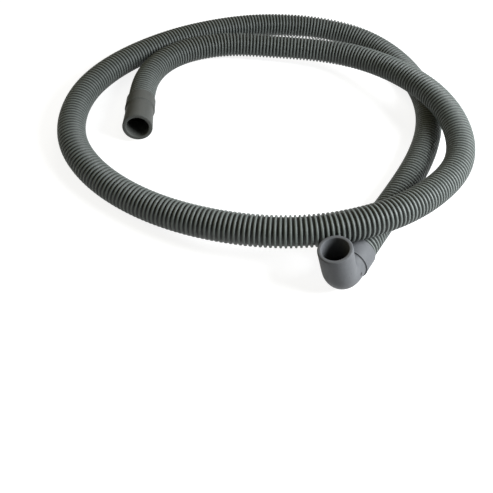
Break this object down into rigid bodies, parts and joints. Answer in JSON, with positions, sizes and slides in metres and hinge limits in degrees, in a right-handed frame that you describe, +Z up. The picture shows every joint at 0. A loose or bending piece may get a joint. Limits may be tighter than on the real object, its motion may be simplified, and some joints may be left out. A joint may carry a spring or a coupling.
{
  "type": "washing machine drain hose",
  "caption": "Grey corrugated drain hose with a straight cuff on one end and a right-angled elbow cuff on the other, lying in loose loops; it carries waste water from a washer to a drain.",
  "frame": {"origin": "middle of the footprint of the laid-out hose, on the floor it lies on", "axes": "+Z up; +X and +Y lie on the floor: the straight cuff opens roughly towards -Y, and the elbow cuff lies at the -Y edge on the +X side"},
  "size_m": [0.3314, 0.3396, 0.0474],
  "materials": {
    "hose": "matte grey corrugated plastic",
    "cuff": "satin grey moulded rubber"
  },
  "bodies": {
    "root": {"corrugated_hose": "hose", "straight_cuff": "cuff", "elbow_cuff": "cuff"}
  },
  "joints": []
}
